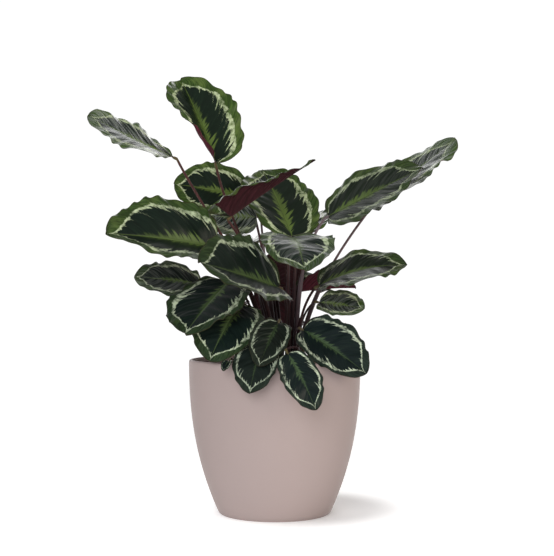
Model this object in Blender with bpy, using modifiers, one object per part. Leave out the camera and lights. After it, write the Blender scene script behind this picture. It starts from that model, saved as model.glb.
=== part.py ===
"""Potted calathea: a matt cover pot, a grow pot with its soil, a clump of stalks and their broad leaves.

Metres, +Z up. The origin is the centre of the cover pot's foot, and -Y is the plant's front.
"""

import math
import random
from typing import NamedTuple

import bmesh
import bpy
from mathutils import Vector

MM = 0.001
GAP = 0.3 * MM

# Cover pot
POT_HEIGHT = 223 * MM
POT_RIM_RADIUS = 125 * MM
POT_FOOT_RADIUS = 81 * MM
POT_BELLY = 2.35
POT_WALL = 7 * MM
POT_FLOOR = 9 * MM
POT_LIP = 3.5 * MM
POT_FOOT_ROUNDING = 2.5 * MM
POT_SIDES = 48
POT_RINGS = 7

# Grow pot
GROW_HEIGHT = 192 * MM
GROW_RIM_RADIUS = 106 * MM
GROW_FOOT_RADIUS = 66 * MM
GROW_WALL = 1.6 * MM
GROW_RIM_DEPTH = 9 * MM
GROW_RIM_STEP = 2.6 * MM
GROW_SIDES = 32
DRAIN_RADIUS = 5 * MM
DRAIN_CIRCLE = 42 * MM
DRAINS = 6

# Soil
SOIL_BELOW_RIM = 12 * MM
SOIL_CROWN = 7 * MM
SOIL_RELIEF = 1.6 * MM
SOIL_SIDES = 32
SOIL_GAP = 0.9 * MM
SOIL_RINGS = 5

# Clump: a rootstock that stands in a hole in the soil, with all the stalks coming out of it
ROOTSTOCK_PLACE = (18 * MM, 1 * MM)
ROOTSTOCK_RADIUS = 50 * MM
ROOTSTOCK_TOP_RADIUS = 44 * MM
ROOTSTOCK_DEPTH = 26 * MM
ROOTSTOCK_RISE = 9 * MM
ROOTSTOCK_SIDES = 20
STALK_SINK = 8 * MM
STALK_FOOT_RADIUS = 3.8 * MM
STALK_TOP_RADIUS = 2 * MM
STALK_POINTS = 8
STALK_KNEE = 7 * MM
STALK_LEAN = 0.12
STALK_CLIMB = 0.45
STALK_REACH = 0.28
STALK_TO_BLADE = 0.8 * MM
STALK_TAPER = 1.3

# Blades
BLADE_THICKNESS = 0.9 * MM
BLADE_ALONG = 8
BLADE_ACROSS = 6
BASE_ROUNDNESS = 0.48
TIP_ROUNDNESS = 0.62
TIP_TAPER = 1.6
BASE_LOBES = 0.12
BLADE_FLARE = 0.275
VEIN_LEAN = 0.16
WAVES = 2.4
WAVE_SHARE = 0.028

GROUND_Z = POT_FLOOR + GAP
GROW_RIM_Z = GROUND_Z + GROW_HEIGHT
SOIL_Z = GROW_RIM_Z - SOIL_BELOW_RIM


class Leaf(NamedTuple):
    """A leaf in millimetres and degrees.

    Its stalk leaves the rootstock at foot, and its blade runs from base to tip. front_tilt turns the blade's
    face from the sky towards the front, fold raises both halves from the midrib, arch bends the midrib over
    its length, and twist turns the tip against the base. pull is the point that draws the upper part of the
    stalk aside. taper makes the blade's base slimmer; where it is negative, the base is broader and the
    tip slimmer.
    """

    name: str
    foot: tuple
    base: tuple
    tip: tuple
    width: float
    front_tilt: float
    fold: float
    arch: float
    twist: float = 0
    pull: tuple = ()
    taper: float = 0


LEAVES = (
    Leaf("crown", (4, 2), (-89, 30, 513), (-146, 95, 650), 122, 11, 40, 14, -28, pull=(-72, 88, 430)),
    Leaf("left_high", (-2, 6), (-150, 3, 519), (-268, -34, 576), 102, 33, 8, -8, -14, pull=(-100, 25, 430), taper=0.4),
    Leaf("back_left", (4, 16), (-47, 130, 472), (-159, 132, 491), 86, 80, 20, 25, pull=(-24, 66, 420)),
    Leaf("rolled", (8, -8), (-62, -42, 428), (60, 0, 514), 86, -12, 48, 5, pull=(-42, -28, 395), taper=-0.4),
    Leaf("back_right", (22, 8), (26, 32, 403), (-20, 138, 515), 118, 5, 14, 14, -15),
    Leaf("right_high", (28, 2), (80, 17, 433), (213, -30, 500), 113, 43, 11, 2, -8),
    Leaf("right_far", (28, 8), (146, 45, 447), (275, 60, 553), 104, 19, 7, 3, 10),
    Leaf("toward", (20, -8), (24, -18, 400), (41, -136, 349), 106, 2, 8, 40, 4),
    Leaf("left_big", (-6, -3), (-84, 0, 386), (-234, -95, 402), 136, 46, 28, 9, 16),
    Leaf("centre", (8, -16), (6, -34, 327), (-100, -150, 361), 130, 49, 26, 2),
    Leaf("left_small", (-14, 8), (-110, 18, 333), (-205, -6, 343), 74, 43, 9, 5, -9),
    Leaf("low_left_upper", (-12, -12), (-66, -12, 337), (-121, -128, 264), 120, 3, 9, 10, -5),
    Leaf("low_left_lower", (-10, -22), (-47, -44, 302), (-89, -108, 226), 98, 25, 12, 48),
    Leaf("front_small", (10, -34), (5, -82, 278), (-21, -138, 221), 56, 20, 20, 18),
    Leaf("hang_left", (0, -34), (-12, -92, 256), (-33, -146, 185), 68, 6, 5, 40),
    Leaf("hang_tiny", (-12, -30), (-62, -116, 227), (-69, -133, 214), 14, 5, 12, 40, pull=(-62, -90, 232)),
    Leaf("hang_right", (32, -36), (18, -138, 238), (55, -168, 165), 55, 34, 4, 25, pull=(48, -110, 258)),
    Leaf("right_low", (36, -30), (40, -62, 267), (127, -98, 208), 83, 48, 24, 18, 5),
    Leaf("right_small", (30, -14), (65, -8, 306), (129, -38, 297), 54, 42, 15, 5, 7),
    Leaf("right_mid", (28, -20), (64, -33, 330), (188, -53, 359), 94, 30, 12, 34, 4),
    Leaf("behind_centre", (0, 24), (-28, 80, 436), (-106, 76, 436), 62, 78, 8, 10, pull=(-20, 60, 400)),
    Leaf("rear_left", (-6, 24), (-50, 70, 370), (-150, 170, 385), 100, 0, 20, 25),
    Leaf("rear_low_left", (-10, 32), (-56, 84, 300), (-126, 176, 262), 86, 0, 15, 25),
    Leaf("rear_hang_left", (-14, 24), (-50, 85, 262), (-85, 150, 222), 60, 0, 12, 35),
    Leaf("rear_high", (10, 34), (-30, 95, 398), (-38, 215, 408), 96, 0, 18, 25, pull=(8, 62, 345)),
    Leaf("rear_high_right", (26, 22), (50, 62, 410), (38, 188, 450), 84, 0, 20, 20, pull=(34, 42, 340)),
    Leaf("rear_hang", (6, 36), (-2, 74, 332), (4, 148, 240), 72, 0, 15, 30),
    Leaf("rear_droop", (18, 20), (20, 57, 385), (14, 150, 304), 68, 0, 15, 30),
    Leaf("under_right", (28, 14), (37, 62, 321), (124, 80, 327), 85, 0, 50, 10),
    Leaf("rear_right", (30, 30), (68, 112, 320), (106, 208, 338), 72, 0, 20, 25),
    Leaf("rear_low_right", (32, 26), (62, 72, 268), (102, 172, 232), 80, 0, 15, 30),
)


def to_metres(millimetres):
    return Vector(millimetres) * MM


def clear_scene():
    for obj in list(bpy.data.objects):
        bpy.data.objects.remove(obj)


def make_collection(name):
    collection = bpy.data.collections.new(name)
    bpy.context.scene.collection.children.link(collection)
    return collection


def make_material(name, colour, roughness):
    material = bpy.data.materials.new(name)
    material.use_nodes = True
    shader = material.node_tree.nodes["Principled BSDF"]
    shader.inputs["Base Color"].default_value = (*colour, 1)
    shader.inputs["Roughness"].default_value = roughness
    shader.inputs["Metallic"].default_value = 0
    return material


def add_object(name, data, material, collection):
    obj = bpy.data.objects.new(name, data)
    obj.data.materials.clear()
    obj.data.materials.append(material)
    collection.objects.link(obj)
    return obj


def bake_modifiers(obj):
    """Applies what the viewport shows, as a mesh with its caps and seams welded."""
    graph = bpy.context.evaluated_depsgraph_get()
    mesh = bpy.data.meshes.new_from_object(obj.evaluated_get(graph))
    bm = bmesh.new()
    bm.from_mesh(mesh)
    bmesh.ops.remove_doubles(bm, verts=bm.verts, dist=0.01 * MM)
    bmesh.ops.recalc_face_normals(bm, faces=bm.faces)
    bm.to_mesh(mesh)
    bm.free()
    return mesh


def turned(name, profile, sides, material, collection):
    """Turns a profile round the Z axis. The profile runs up the inner side and down the outer side."""
    mesh = bpy.data.meshes.new(name)
    mesh.from_pydata([(r, 0, z) for r, z in profile], [(i, i + 1) for i in range(len(profile) - 1)], [])
    obj = add_object(name, mesh, material, collection)
    screw = obj.modifiers.new("turn", "SCREW")
    screw.steps = screw.render_steps = sides
    screw.use_merge_vertices = True
    screw.merge_threshold = 0.02 * MM
    return obj


def pot_radius(z):
    """Outer radius of the cover pot at height z: wide at the rim, drawn in quickly near the foot."""
    share = min(max(z / POT_HEIGHT, 0), 1)
    return POT_FOOT_RADIUS + (POT_RIM_RADIUS - POT_FOOT_RADIUS) * (1 - (1 - share) ** POT_BELLY)


def make_cover_pot(material, collection):
    bottom = POT_FOOT_ROUNDING
    shoulder = POT_HEIGHT - POT_LIP
    heights = [bottom + (shoulder - bottom) * i / POT_RINGS for i in range(POT_RINGS + 1)]
    inner = [(pot_radius(z) - POT_WALL, z) for z in heights if z > POT_FLOOR + POT_WALL]
    middle = pot_radius(shoulder) - POT_WALL / 2
    lip = [
        (middle - POT_WALL / 2 * math.cos(a), shoulder + POT_LIP * math.sin(a))
        for a in (math.radians(d) for d in (40, 70, 110, 140))
    ]
    outer = [(pot_radius(z), z) for z in reversed(heights)]
    floor = [(0, POT_FLOOR), (pot_radius(POT_FLOOR) - POT_WALL - 4 * MM, POT_FLOOR)]
    foot = [(POT_FOOT_RADIUS - POT_FOOT_ROUNDING, 0), (0, 0)]
    return turned("cover_pot", floor + inner + lip + outer + foot, POT_SIDES, material, collection)


def grow_radius(z):
    """Outer radius of the grow pot's straight, tapered wall at height z above its own foot."""
    return GROW_FOOT_RADIUS + (GROW_RIM_RADIUS - GROW_RIM_STEP - GROW_FOOT_RADIUS) * z / GROW_HEIGHT


def make_grow_pot(material, collection, helpers):
    step = GROW_HEIGHT - GROW_RIM_DEPTH
    profile = [
        (0, GROW_WALL),
        (grow_radius(0) - GROW_WALL, GROW_WALL),
        (grow_radius(step) - GROW_WALL, step + GROW_WALL),
        (GROW_RIM_RADIUS - GROW_WALL, step + GROW_WALL + GROW_RIM_STEP),
        (GROW_RIM_RADIUS - GROW_WALL, GROW_HEIGHT),
        (GROW_RIM_RADIUS, GROW_HEIGHT),
        (GROW_RIM_RADIUS, step + GROW_RIM_STEP),
        (grow_radius(step), step),
        (grow_radius(0), 0),
        (0, 0),
    ]
    lifted = [(r, z + GROUND_Z) for r, z in profile]
    pot = turned("grow_pot", lifted, GROW_SIDES, material, collection)
    cutter = drain_cutter(helpers)
    cut = pot.modifiers.new("drains", "BOOLEAN")
    cut.operation = "DIFFERENCE"
    cut.object = cutter
    return pot


def drain_cutter(helpers):
    """The grow pot's drain holes, as one cutter."""
    bm = bmesh.new()
    for i in range(DRAINS):
        hole = bmesh.ops.create_cone(
            bm, cap_ends=True, segments=12, radius1=DRAIN_RADIUS, radius2=DRAIN_RADIUS, depth=6 * GROW_WALL
        )
        turn = math.tau * (i + 0.5) / DRAINS
        place = Vector((math.cos(turn), math.sin(turn), 0)) * DRAIN_CIRCLE
        bmesh.ops.translate(bm, verts=hole["verts"], vec=place + Vector((0, 0, GROUND_Z)))
    return helper_object("drain_cutter", bm, helpers)


def helper_object(name, bm, helpers):
    mesh = bpy.data.meshes.new(name)
    bm.to_mesh(mesh)
    bm.free()
    obj = bpy.data.objects.new(name, mesh)
    obj.hide_render = True
    obj.display_type = "WIRE"
    helpers.objects.link(obj)
    return obj


def soil_relief(x, y):
    """Height of the loose soil's lumps at a point."""
    return SOIL_RELIEF * (math.sin(x * 210 + 1.3) * math.cos(y * 170 + 0.4) + 0.6 * math.sin((x + y) * 330))


def make_soil(material, collection, helpers):
    """The root ball: tapered to the grow pot, crowned and lumpy on top, with a round hole for the rootstock."""
    foot_z = GROUND_Z + GROW_WALL + GAP
    top_z = SOIL_Z - SOIL_CROWN
    foot = grow_radius(foot_z - GROUND_Z) - GROW_WALL - SOIL_GAP
    top = grow_radius(top_z - GROUND_Z) - GROW_WALL - SOIL_GAP
    bm = bmesh.new()
    bmesh.ops.create_cone(
        bm, cap_ends=True, segments=SOIL_SIDES, radius1=foot, radius2=top, depth=top_z - foot_z
    )
    bmesh.ops.translate(bm, verts=bm.verts, vec=(0, 0, (top_z + foot_z) / 2))
    lid = max(bm.faces, key=lambda face: face.calc_center_median().z)
    for _ in range(SOIL_RINGS):
        bmesh.ops.inset_region(bm, faces=[lid], thickness=top / (SOIL_RINGS + 0.6))
    for vert in bm.verts:
        reach = math.hypot(vert.co.x, vert.co.y) / top
        if vert.co.z > top_z - GAP and reach < 0.98:
            vert.co.z += SOIL_CROWN * (1 - reach**2) + soil_relief(vert.co.x, vert.co.y)
    bmesh.ops.poke(bm, faces=[lid])
    bmesh.ops.triangulate(bm, faces=bm.faces)
    mesh = bpy.data.meshes.new("soil")
    bm.to_mesh(mesh)
    bm.free()
    soil = add_object("soil", mesh, material, collection)
    hole = soil.modifiers.new("rootstock", "BOOLEAN")
    hole.operation = "DIFFERENCE"
    hole.object = rootstock_cutter(helpers)
    return soil


def rootstock_cutter(helpers):
    bm = bmesh.new()
    bmesh.ops.create_cone(
        bm,
        cap_ends=True,
        segments=ROOTSTOCK_SIDES,
        radius1=ROOTSTOCK_RADIUS + GAP,
        radius2=ROOTSTOCK_RADIUS + GAP,
        depth=2 * ROOTSTOCK_DEPTH + 2 * GAP,
    )
    bmesh.ops.translate(bm, verts=bm.verts, vec=(*ROOTSTOCK_PLACE, SOIL_Z))
    return helper_object("rootstock_hole", bm, helpers)


class Blade:
    """The surface of one leaf's blade, by the share s of its length and the share t of its half width."""

    def __init__(self, leaf):
        self.base = to_metres(leaf.base)
        self.half = leaf.width / 2 * MM
        self.base_roundness = BASE_ROUNDNESS + leaf.taper
        self.tip_roundness = TIP_ROUNDNESS - TIP_TAPER * min(leaf.taper, 0)
        self.fold = math.radians(leaf.fold)
        self.arch = math.radians(leaf.arch)
        self.twist = math.radians(leaf.twist)
        chord = to_metres(leaf.tip) - self.base
        self.chord = chord.length
        self.along = chord.normalized()
        self.turn(math.radians(leaf.front_tilt))
        self.wave_start = random.Random(leaf.name).uniform(0, math.tau)

    def turn(self, tilt):
        """Sets the face, turned by tilt from the sky towards the front, and the side."""
        up = (Vector((0, 0, 1)) - self.along * self.along.z).normalized()
        side = self.along.cross(up)
        to_front = side if side.y < 0 else -side
        self.face = up * math.cos(tilt) + to_front * math.sin(tilt)
        self.side = self.face.cross(self.along)

    def half_width(self, s):
        widest = self.base_roundness / (self.base_roundness + self.tip_roundness)
        full = widest**self.base_roundness * (1 - widest) ** self.tip_roundness
        return self.half * s**self.base_roundness * (1 - s) ** self.tip_roundness / full

    def midrib(self, s):
        """The point of the midrib at s, and the blade's own direction and normal there."""
        radius = self.chord / (2 * math.sin(self.arch / 2))
        bend = self.arch * (0.5 - s)
        along = self.chord / 2 - radius * math.sin(bend)
        rise = radius * (math.cos(bend) - math.cos(self.arch / 2))
        place = self.base + self.along * along + self.face * rise
        direction = self.along * math.cos(bend) + self.face * math.sin(bend)
        normal = self.face * math.cos(bend) - self.along * math.sin(bend)
        return place, direction, normal

    def point(self, s, t):
        place, direction, normal = self.midrib(s)
        breadth = abs(t) * self.half_width(s) / self.half
        place -= direction * BASE_LOBES * self.chord * breadth**1.2 * (1 - s) ** 4
        turn = self.twist * (s - 0.5)
        side = self.side * math.cos(turn) + normal * math.sin(turn)
        normal = normal * math.cos(turn) - self.side * math.sin(turn)
        slope = self.fold * (1.3 - 0.6 * s) * (1 - BLADE_FLARE * abs(t))
        reach = self.half_width(s) * t
        vein = s - VEIN_LEAN * abs(t)
        phase = self.wave_start + (1.9 if t > 0 else 0)
        wave = 2 * WAVE_SHARE * self.half * t * t * math.sin(math.tau * WAVES * vein + phase)
        return place + side * reach * math.cos(slope) + normal * (abs(reach) * math.sin(slope) + wave)


def disc_to_blade(x, y):
    """A square grid's point, from -1 to 1 each way, as shares of a blade with a rounded outline."""
    round_x = x * math.sqrt(1 - y * y / 2)
    round_y = y * math.sqrt(1 - x * x / 2)
    edge = math.sqrt(max(1 - round_x**2, 0))
    return (round_x + 1) / 2, (round_y / edge if edge > 1e-6 else 0)


def make_blade(leaf, material, collection):
    blade = Blade(leaf)
    bm = bmesh.new()
    bmesh.ops.create_grid(bm, x_segments=BLADE_ALONG, y_segments=BLADE_ACROSS, size=1)
    for vert in bm.verts:
        vert.co = blade.point(*disc_to_blade(vert.co.x, vert.co.y))
    bmesh.ops.triangulate(bm, faces=bm.faces)
    mesh = bpy.data.meshes.new(f"leaf_{leaf.name}")
    bm.to_mesh(mesh)
    bm.free()
    obj = add_object(f"leaf_{leaf.name}", mesh, material, collection)
    thick = obj.modifiers.new("thickness", "SOLIDIFY")
    thick.thickness = BLADE_THICKNESS
    thick.offset = 0
    return obj


def stalk_path(leaf):
    """Points from the rootstock up to the knee, where the stalk takes the blade's direction, and the blade."""
    blade = Blade(leaf)
    base, direction, _ = blade.midrib(0)
    foot = to_metres((*leaf.foot, 0)) + Vector((0, 0, SOIL_Z + ROOTSTOCK_RISE - STALK_SINK))
    reach = base - foot
    first = foot + Vector((reach.x * STALK_LEAN, reach.y * STALK_LEAN, reach.z * STALK_CLIMB))
    knee = base - direction * STALK_KNEE
    arrival = (direction + reach.normalized()).normalized()
    second = to_metres(leaf.pull) if leaf.pull else knee - arrival * STALK_REACH * reach.length
    points = []
    for i in range(STALK_POINTS):
        u = i / (STALK_POINTS - 1)
        v = 1 - u
        points.append(foot * v**3 + first * 3 * v * v * u + second * 3 * v * u * u + knee * u**3)
    return [*points, base - direction * STALK_TO_BLADE]


def make_stalk(leaf, holder):
    curve = bpy.data.curves.new(f"stalk_{leaf.name}", "CURVE")
    curve.dimensions = "3D"
    curve.bevel_depth = 1
    curve.bevel_resolution = 1
    curve.use_fill_caps = True
    spline = curve.splines.new("POLY")
    path = stalk_path(leaf)
    spline.points.add(len(path) - 1)
    for i, place in enumerate(path):
        spline.points[i].co = (*place, 1)
        share = (i / (len(path) - 1)) ** STALK_TAPER
        spline.points[i].radius = STALK_FOOT_RADIUS + (STALK_TOP_RADIUS - STALK_FOOT_RADIUS) * share
    tube = bpy.data.objects.new(curve.name, curve)
    bpy.context.scene.collection.objects.link(tube)
    mesh = bake_modifiers(tube)
    bpy.data.objects.remove(tube)
    obj = bpy.data.objects.new(f"stalk_{leaf.name}", mesh)
    holder.objects.link(obj)


def make_clump(material, collection):
    """The rootstock with every leaf's stalk, fused into one body."""
    holder = make_collection("stalks")
    for leaf in LEAVES:
        make_stalk(leaf, holder)
    bm = bmesh.new()
    bmesh.ops.create_cone(
        bm,
        cap_ends=True,
        segments=ROOTSTOCK_SIDES,
        radius1=ROOTSTOCK_RADIUS,
        radius2=ROOTSTOCK_TOP_RADIUS,
        depth=ROOTSTOCK_DEPTH + ROOTSTOCK_RISE,
    )
    middle = SOIL_Z + (ROOTSTOCK_RISE - ROOTSTOCK_DEPTH) / 2
    bmesh.ops.translate(bm, verts=bm.verts, vec=(*ROOTSTOCK_PLACE, middle))
    rootstock = bpy.data.meshes.new("rootstock")
    bm.to_mesh(rootstock)
    bm.free()
    clump = add_object("stalk_clump", rootstock, material, collection)
    union = clump.modifiers.new("stalks", "BOOLEAN")
    union.operation = "UNION"
    union.operand_type = "COLLECTION"
    union.collection = holder
    union.solver = "EXACT"
    fused = bake_modifiers(clump)
    clump.modifiers.clear()
    clump.data = fused
    clump.data.materials.clear()
    clump.data.materials.append(material)
    for stalk in list(holder.objects):
        bpy.data.objects.remove(stalk)
    bpy.data.collections.remove(holder)
    return clump


def shade_round(obj, degrees=35):
    if obj.type == "MESH":
        obj.data.shade_smooth()
        obj.data.set_sharp_from_angle(angle=math.radians(degrees))


def main():
    clear_scene()
    parts = make_collection("potted_calathea")
    helpers = make_collection("cutters")
    glaze = make_material("pot_rose_taupe", (0.447, 0.363, 0.342), 0.62)
    plastic = make_material("grow_pot_black", (0.012, 0.012, 0.013), 0.5)
    earth = make_material("potting_soil", (0.022, 0.014, 0.009), 0.95)
    green = make_material("leaf_green", (0.020, 0.055, 0.018), 0.35)
    maroon = make_material("stalk_maroon", (0.085, 0.022, 0.020), 0.45)
    pots = [
        make_cover_pot(glaze, parts),
        make_grow_pot(plastic, parts, helpers),
        make_soil(earth, parts, helpers),
    ]
    clump = make_clump(maroon, parts)
    blades = [make_blade(leaf, green, parts) for leaf in LEAVES]
    for obj in [*pots, clump, *blades]:
        shade_round(obj)


main()
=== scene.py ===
"""The finished look of a potted calathea over its CAD parts.

Every leaf gets a thin, rippled blade with a feathered green and cream pattern above and maroon below.
Every stalk gets its sheath and joint. The soil, the grow pot and the matt cover pot get their own finish,
and all of it stands on a white stage.
All places are in metres in the frame of the CAD parts: +Z up, and -Y the plant's front.
"""

import math
import random
from functools import partialmethod
from typing import NamedTuple

import bmesh
import bpy
from bpy.props import FloatProperty, FloatVectorProperty, IntProperty, PointerProperty
from mathutils import Matrix, Vector, noise


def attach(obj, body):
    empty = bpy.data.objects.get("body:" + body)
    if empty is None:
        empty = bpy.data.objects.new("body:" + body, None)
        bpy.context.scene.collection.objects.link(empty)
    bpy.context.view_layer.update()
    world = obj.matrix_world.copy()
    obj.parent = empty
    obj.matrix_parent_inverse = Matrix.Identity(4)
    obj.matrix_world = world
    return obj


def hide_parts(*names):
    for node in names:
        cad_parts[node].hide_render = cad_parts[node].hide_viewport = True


bl_info = {
    "name": "Potted Calathea",
    "version": (1, 0, 0),
    "blender": (4, 5, 0),
    "location": "View3D > Sidebar > Calathea",
    "description": "Dresses the parts of a potted calathea with leaves, stalks, soil and pots",
    "category": "Object",
}

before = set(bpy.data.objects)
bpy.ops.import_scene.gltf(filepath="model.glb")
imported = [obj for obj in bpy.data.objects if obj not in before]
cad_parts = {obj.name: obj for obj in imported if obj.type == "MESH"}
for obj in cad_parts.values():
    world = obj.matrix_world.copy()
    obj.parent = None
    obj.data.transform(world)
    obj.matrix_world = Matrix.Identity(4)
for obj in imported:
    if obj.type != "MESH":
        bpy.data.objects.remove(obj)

MM = 0.001
BODY = "root"
WHITE = (1, 1, 1)

# Cover pot, as in the part
POT_HEIGHT = 223 * MM
POT_RIM_RADIUS = 125 * MM
POT_FOOT_RADIUS = 81 * MM
POT_BELLY = 2.35
POT_WALL = 7 * MM
POT_FLOOR = 9 * MM
POT_LIP = 3.5 * MM
POT_FOOT_ROUNDING = 2.5 * MM
POT_INNER_ROUNDING = 4 * MM

# Grow pot and soil, as in the part
GROUND_Z = POT_FLOOR + 0.3 * MM
GROW_HEIGHT = 192 * MM
GROW_RIM_RADIUS = 106 * MM
GROW_FOOT_RADIUS = 66 * MM
GROW_WALL = 1.6 * MM
GROW_RIM_DEPTH = 9 * MM
GROW_RIM_STEP = 2.6 * MM
DRAIN_RADIUS = 5 * MM
DRAIN_CIRCLE = 42 * MM
DRAINS = 6
SOIL_Z = GROUND_Z + GROW_HEIGHT - 12 * MM
SOIL_CROWN = 7 * MM
SOIL_RELIEF = 1.6 * MM
SOIL_GAP = 0.9 * MM

# Clump and stalks, as in the part
ROOTSTOCK_PLACE = (18 * MM, 1 * MM)
ROOTSTOCK_RADIUS = 50 * MM
ROOTSTOCK_TOP_RADIUS = 44 * MM
ROOTSTOCK_DEPTH = 26 * MM
ROOTSTOCK_RISE = 9 * MM
STALK_SINK = 8 * MM
STALK_KNEE = 7 * MM
STALK_LEAN = 0.12
STALK_CLIMB = 0.45
STALK_REACH = 0.28

# Blades, as in the part
BASE_ROUNDNESS = 0.48
TIP_ROUNDNESS = 0.62
TIP_TAPER = 1.6
BASE_LOBES = 0.12
BLADE_FLARE = 0.275
VEIN_LEAN = 0.16
WAVES = 2.4
WAVE_SHARE = 0.028

# The side veins leave the midrib and curl towards the tip: the length that they gain on their way to the edge
SIDE_VEIN_LEAN = 0.22
SIDE_VEIN_CURL = 0.18
SIDE_VEINS = 14
OTHER_SIDE_SHIFT = 0.031

# Faces round the grow pot, a drain hole and the rootstock
GROW_STEPS = 96
DRAIN_STEPS = 24
ROOTSTOCK_STEPS = 64

# Shares of a stalk's length: its sheath, its bare neck and the joint below the blade
SHEATH_END = 0.52
NECK_START = 0.60
JOINT_START = 0.93
JOINT_LENGTH = 0.075

# A stalk's thin end, and how far it runs under its blade
STALK_END_RADIUS = 0.6 * MM
STALK_END_LENGTH = 1.5 * MM

# The rootstock's lid is divided into rings, lumpy and drawn down towards its edge
LID_RINGS = 9
LID_RING = 4.4 * MM
LID_LUMPS = 1.5 * MM
LID_FALL = 4 * MM

# Height of the soil's finest crumbs
CRUMB_RELIEF = 1.1 * MM

# The two soft lights, and the point that they face
LIT_POINT = (0, 0, 0.3)
KEY_PLACE = (-0.7, -2.6, 1.1)
KEY_SIZE = 1.8
FILL_PLACE = (2.2, -1.6, 0.9)
FILL_SIZE = 1.6

# The sky brightens between these shares of the way to the back, and the camera sees it as pure white
SKY_FRONT_END = 0.62
SKY_BACK_START = 0.90
SEEN_SKY = 1.05

# Middle of the pot's shadow, which has gone at this many times the distance at which it starts to fade
SHADOW_PLACE = (0.048, 0.035, 0)
SHADOW_REACH = 2


class Leaf(NamedTuple):
    """A leaf of the part, in millimetres and degrees.

    The foot is the stalk's, base and tip are the blade's ends, and pull draws the stalk's upper half. taper
    makes the base slimmer, or the tip where it is negative.
    """

    name: str
    foot: tuple
    base: tuple
    tip: tuple
    width: float
    front_tilt: float
    fold: float
    arch: float
    twist: float = 0
    pull: tuple = ()
    taper: float = 0


LEAVES = (
    Leaf("crown", (4, 2), (-89, 30, 513), (-146, 95, 650), 122, 11, 40, 14, -28, pull=(-72, 88, 430)),
    Leaf(
        "left_high", (-2, 6), (-150, 3, 519), (-268, -34, 576), 102, 33, 8, -8, -14,
        pull=(-100, 25, 430), taper=0.4,
    ),
    Leaf("back_left", (4, 16), (-47, 130, 472), (-159, 132, 491), 86, 80, 20, 25, pull=(-24, 66, 420)),
    Leaf("rolled", (8, -8), (-62, -42, 428), (60, 0, 514), 86, -12, 48, 5, pull=(-42, -28, 395), taper=-0.4),
    Leaf("back_right", (22, 8), (26, 32, 403), (-20, 138, 515), 118, 5, 14, 14, -15),
    Leaf("right_high", (28, 2), (80, 17, 433), (213, -30, 500), 113, 43, 11, 2, -8),
    Leaf("right_far", (28, 8), (146, 45, 447), (275, 60, 553), 104, 19, 7, 3, 10),
    Leaf("toward", (20, -8), (24, -18, 400), (41, -136, 349), 106, 2, 8, 40, 4),
    Leaf("left_big", (-6, -3), (-84, 0, 386), (-234, -95, 402), 136, 46, 28, 9, 16),
    Leaf("centre", (8, -16), (6, -34, 327), (-100, -150, 361), 130, 49, 26, 2),
    Leaf("left_small", (-14, 8), (-110, 18, 333), (-205, -6, 343), 74, 43, 9, 5, -9),
    Leaf("low_left_upper", (-12, -12), (-66, -12, 337), (-121, -128, 264), 120, 3, 9, 10, -5),
    Leaf("low_left_lower", (-10, -22), (-47, -44, 302), (-89, -108, 226), 98, 25, 12, 48),
    Leaf("front_small", (10, -34), (5, -82, 278), (-21, -138, 221), 56, 20, 20, 18),
    Leaf("hang_left", (0, -34), (-12, -92, 256), (-33, -146, 185), 68, 6, 5, 40),
    Leaf("hang_tiny", (-12, -30), (-62, -116, 227), (-69, -133, 214), 14, 5, 12, 40, pull=(-62, -90, 232)),
    Leaf("hang_right", (32, -36), (18, -138, 238), (55, -168, 165), 55, 34, 4, 25, pull=(48, -110, 258)),
    Leaf("right_low", (36, -30), (40, -62, 267), (127, -98, 208), 83, 48, 24, 18, 5),
    Leaf("right_small", (30, -14), (65, -8, 306), (129, -38, 297), 54, 42, 15, 5, 7),
    Leaf("right_mid", (28, -20), (64, -33, 330), (188, -53, 359), 94, 30, 12, 34, 4),
    Leaf("behind_centre", (0, 24), (-28, 80, 436), (-106, 76, 436), 62, 78, 8, 10, pull=(-20, 60, 400)),
    Leaf("rear_left", (-6, 24), (-50, 70, 370), (-150, 170, 385), 100, 0, 20, 25),
    Leaf("rear_low_left", (-10, 32), (-56, 84, 300), (-126, 176, 262), 86, 0, 15, 25),
    Leaf("rear_hang_left", (-14, 24), (-50, 85, 262), (-85, 150, 222), 60, 0, 12, 35),
    Leaf("rear_high", (10, 34), (-30, 95, 398), (-38, 215, 408), 96, 0, 18, 25, pull=(8, 62, 345)),
    Leaf("rear_high_right", (26, 22), (50, 62, 410), (38, 188, 450), 84, 0, 20, 20, pull=(34, 42, 340)),
    Leaf("rear_hang", (6, 36), (-2, 74, 332), (4, 148, 240), 72, 0, 15, 30),
    Leaf("rear_droop", (18, 20), (20, 57, 385), (14, 150, 304), 68, 0, 15, 30),
    Leaf("under_right", (28, 14), (37, 62, 321), (124, 80, 327), 85, 0, 50, 10),
    Leaf("rear_right", (30, 30), (68, 112, 320), (106, 208, 338), 72, 0, 20, 25),
    Leaf("rear_low_right", (32, 26), (62, 72, 268), (102, 172, 232), 80, 0, 15, 30),
)


class Curl(NamedTuple):
    """An edge that rolls up, or down where turn is negative: its side, stretch and share of the half."""

    side: int
    start: float
    end: float
    share: float
    turn: float


# The side of a blade whose edge hardly ripples
SMOOTH_SIDES = {"right_high": 1, "right_mid": 1, "rolled": 1, "right_far": 1}

CURLS = {
    "crown": Curl(1, 0.0, 0.34, 0.30, 85),
    "rolled": Curl(-1, 0.0, 0.97, 0.13, -130),
    "left_high": Curl(-1, 0.45, 1.0, 0.25, -70),
    "right_far": Curl(-1, 0.7, 1.0, 0.25, -60),
}


class Skin(NamedTuple):
    """How a blade's skin differs from the others', in shares from 0 to 1.

    young is 0 on the oldest leaves, and goes by the leaf's height where it is negative. silver is the real
    coat between the side veins and the grey-green painted sheen there, gloss the wax, and dusk a painted
    shade of dull olive-brown over all of it, which on right_high and right_mid also stands for their own
    duller olive.
    """

    young: float = -1
    silver: float = 0
    gloss: float = 1
    dusk: float = 0


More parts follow.
